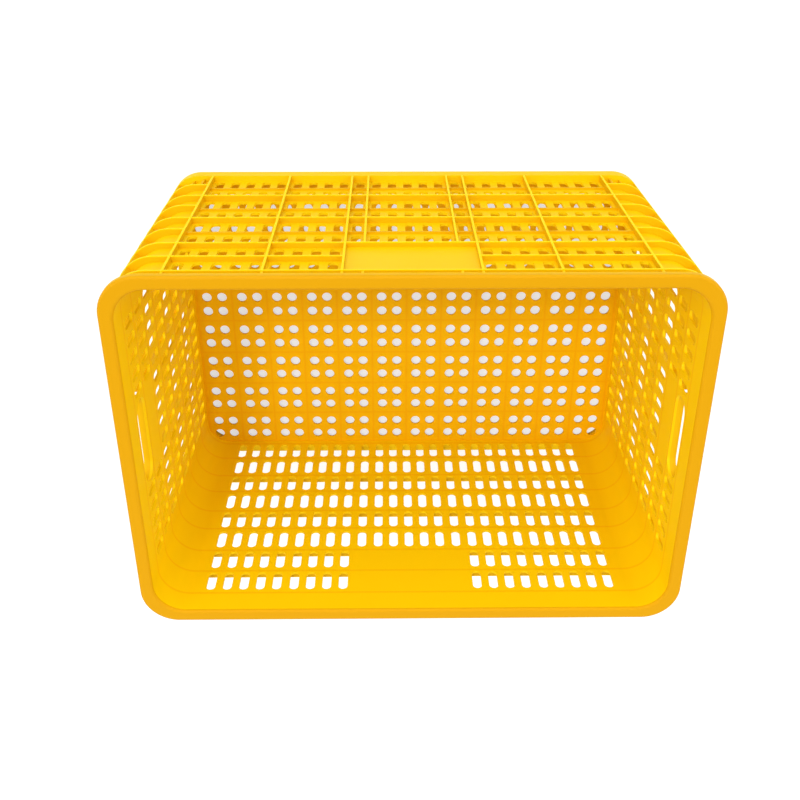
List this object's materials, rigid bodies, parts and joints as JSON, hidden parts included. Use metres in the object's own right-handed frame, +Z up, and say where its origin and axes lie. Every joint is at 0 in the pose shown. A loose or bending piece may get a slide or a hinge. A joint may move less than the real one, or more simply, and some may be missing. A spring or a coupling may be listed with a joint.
{
  "type": "stacking crate",
  "caption": "Open perforated plastic stacking crate in yellow, with slotted ribbed walls, a drained floor, two handholds and a flat rim.",
  "frame": {"origin": "middle of the footprint, on the ground plane", "axes": "+X along the crate's length, +Y across its width, +Z up out of the mouth"},
  "size_m": [0.61, 0.421, 0.379],
  "materials": {
    "crate_plastic": "smooth satin, as moulded"
  },
  "bodies": {
    "root": {"floor_panel": "crate_plastic", "floor_ribs": "crate_plastic", "front_wall": "crate_plastic", "front_uprights": "crate_plastic", "front_cross_ribs": "crate_plastic", "front_low_ribs": "crate_plastic", "front_rim_gussets": "crate_plastic", "front_label_field": "crate_plastic", "front_foot_rail": "crate_plastic", "front_rim": "crate_plastic", "back_wall": "crate_plastic", "back_uprights": "crate_plastic", "back_cross_ribs": "crate_plastic", "back_low_ribs": "crate_plastic", "back_rim_gussets": "crate_plastic", "back_label_field": "crate_plastic", "back_foot_rail": "crate_plastic", "back_rim": "crate_plastic", "left_wall": "crate_plastic", "left_uprights": "crate_plastic", "left_cross_ribs": "crate_plastic", "left_low_ribs": "crate_plastic", "left_rim_gussets": "crate_plastic", "left_handhold_collar": "crate_plastic", "left_foot_rail": "crate_plastic", "left_rim": "crate_plastic", "right_wall": "crate_plastic", "right_uprights": "crate_plastic", "right_cross_ribs": "crate_plastic", "right_low_ribs": "crate_plastic", "right_rim_gussets": "crate_plastic", "right_handhold_collar": "crate_plastic", "right_foot_rail": "crate_plastic", "right_rim": "crate_plastic", "front_left_corner_wall": "crate_plastic", "front_left_corner_ribs": "crate_plastic", "front_left_corner_foot": "crate_plastic", "front_left_corner_rim": "crate_plastic", "front_right_corner_wall": "crate_plastic", "front_right_corner_ribs": "crate_plastic", "front_right_corner_foot": "crate_plastic", "front_right_corner_rim": "crate_plastic", "back_left_corner_wall": "crate_plastic", "back_left_corner_ribs": "crate_plastic", "back_left_corner_foot": "crate_plastic", "back_left_corner_rim": "crate_plastic", "back_right_corner_wall": "crate_plastic", "back_right_corner_ribs": "crate_plastic", "back_right_corner_foot": "crate_plastic", "back_right_corner_rim": "crate_plastic"}
  },
  "joints": []
}
